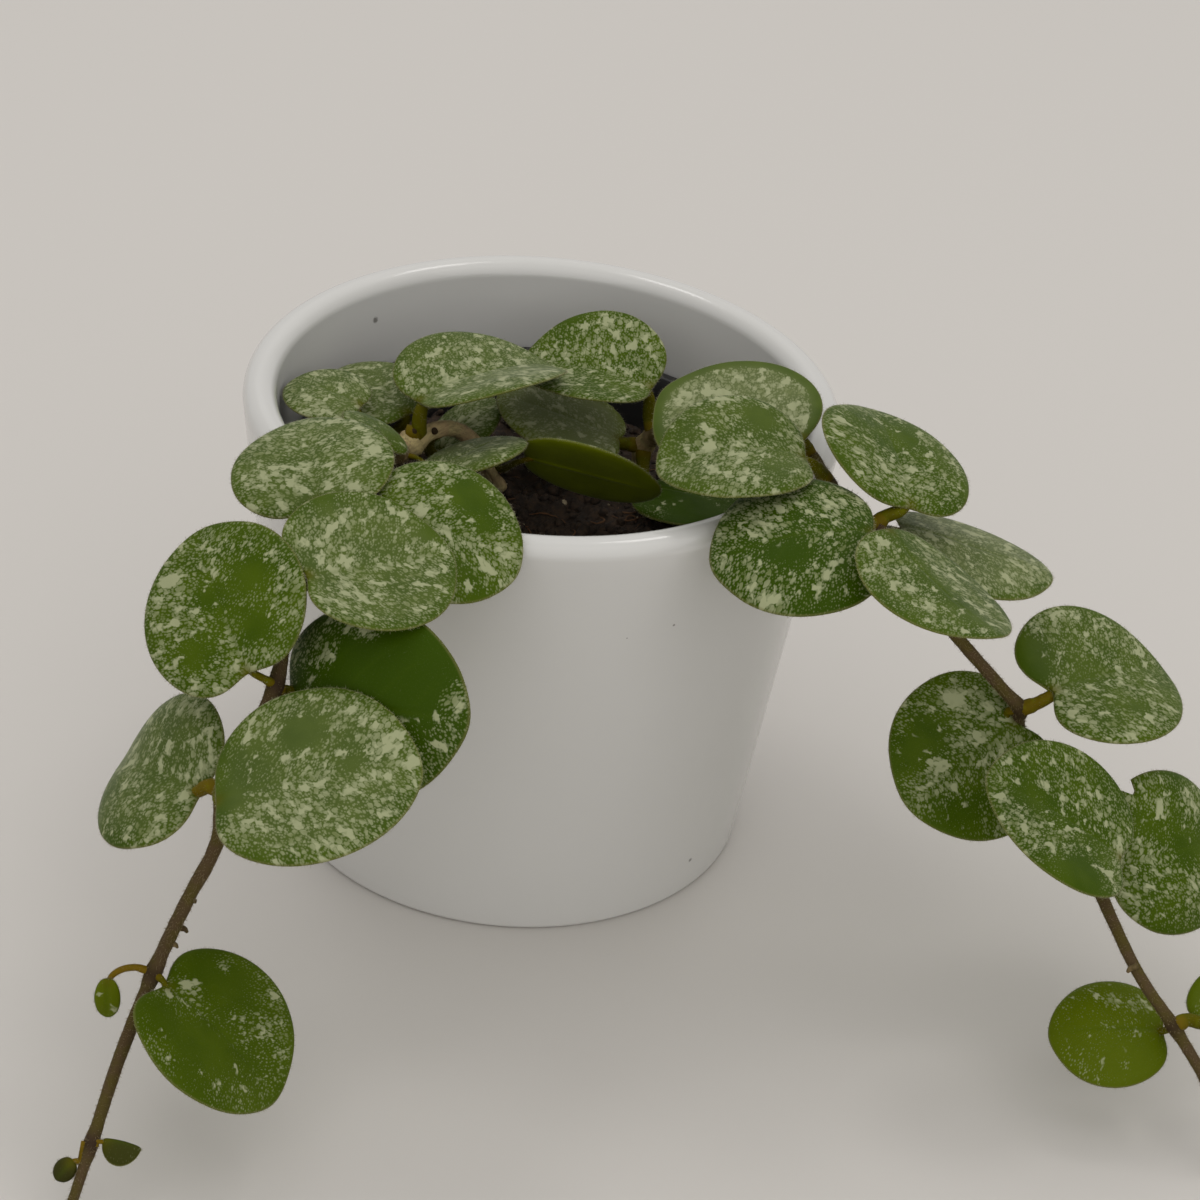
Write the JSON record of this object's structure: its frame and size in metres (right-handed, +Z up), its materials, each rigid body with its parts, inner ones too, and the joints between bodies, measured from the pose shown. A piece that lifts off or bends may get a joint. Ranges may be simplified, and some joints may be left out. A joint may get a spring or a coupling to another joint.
{
  "type": "potted wax plant",
  "caption": "Trailing wax plant with round silver-splashed leaves on thin vines, in a growing pot inside a smooth round cover pot.",
  "frame": {"origin": "centre of the cover pot's foot, on the surface that it stands on", "axes": "+Z up along the pot's axis; the picture looks along +Y, with +X to its right; the vines hang over the front and run out along the table"},
  "size_m": [0.2182, 0.2043, 0.0948],
  "materials": {
    "cover_pot_glaze": "white satin glaze",
    "growing_pot_plastic": "black moulded plastic with a satin rim",
    "potting_soil": "dark crumbly potting mix",
    "vine_bark": "brown hairy green wood, tan where old",
    "splashed_leaf": "deep green waxy leaf with silver splashes",
    "young_leaf": "yellow-green young leaf"
  },
  "bodies": {
    "root": {"cover_pot": "cover_pot_glaze", "growing_pot": "growing_pot_plastic", "soil": "potting_soil", "vine_left": "vine_bark", "vine_right": "vine_bark", "shoot_back": "vine_bark", "leaf_left_1": "splashed_leaf", "leaf_left_2": "young_leaf", "leaf_left_3": "splashed_leaf", "leaf_left_4": "splashed_leaf", "leaf_left_5": "young_leaf", "leaf_left_6": "young_leaf", "leaf_left_7": "splashed_leaf", "leaf_left_8": "splashed_leaf", "leaf_left_9": "splashed_leaf", "leaf_left_10": "splashed_leaf", "leaf_left_11": "splashed_leaf", "leaf_left_12": "splashed_leaf", "leaf_left_13": "splashed_leaf", "leaf_left_14": "young_leaf", "leaf_left_15": "young_leaf", "leaf_left_16": "young_leaf", "leaf_left_17": "young_leaf", "leaf_left_18": "young_leaf", "leaf_right_1": "splashed_leaf", "leaf_right_2": "splashed_leaf", "leaf_right_3": "splashed_leaf", "leaf_right_4": "splashed_leaf", "leaf_right_5": "splashed_leaf", "leaf_right_6": "splashed_leaf", "leaf_right_7": "splashed_leaf", "leaf_right_8": "splashed_leaf", "leaf_right_9": "splashed_leaf", "leaf_right_10": "splashed_leaf", "leaf_right_11": "splashed_leaf", "leaf_right_12": "splashed_leaf", "leaf_right_13": "splashed_leaf", "leaf_right_14": "young_leaf", "leaf_right_15": "young_leaf", "leaf_right_16": "young_leaf", "leaf_right_17": "young_leaf", "leaf_back_1": "splashed_leaf", "leaf_back_2": "splashed_leaf"}
  },
  "joints": []
}
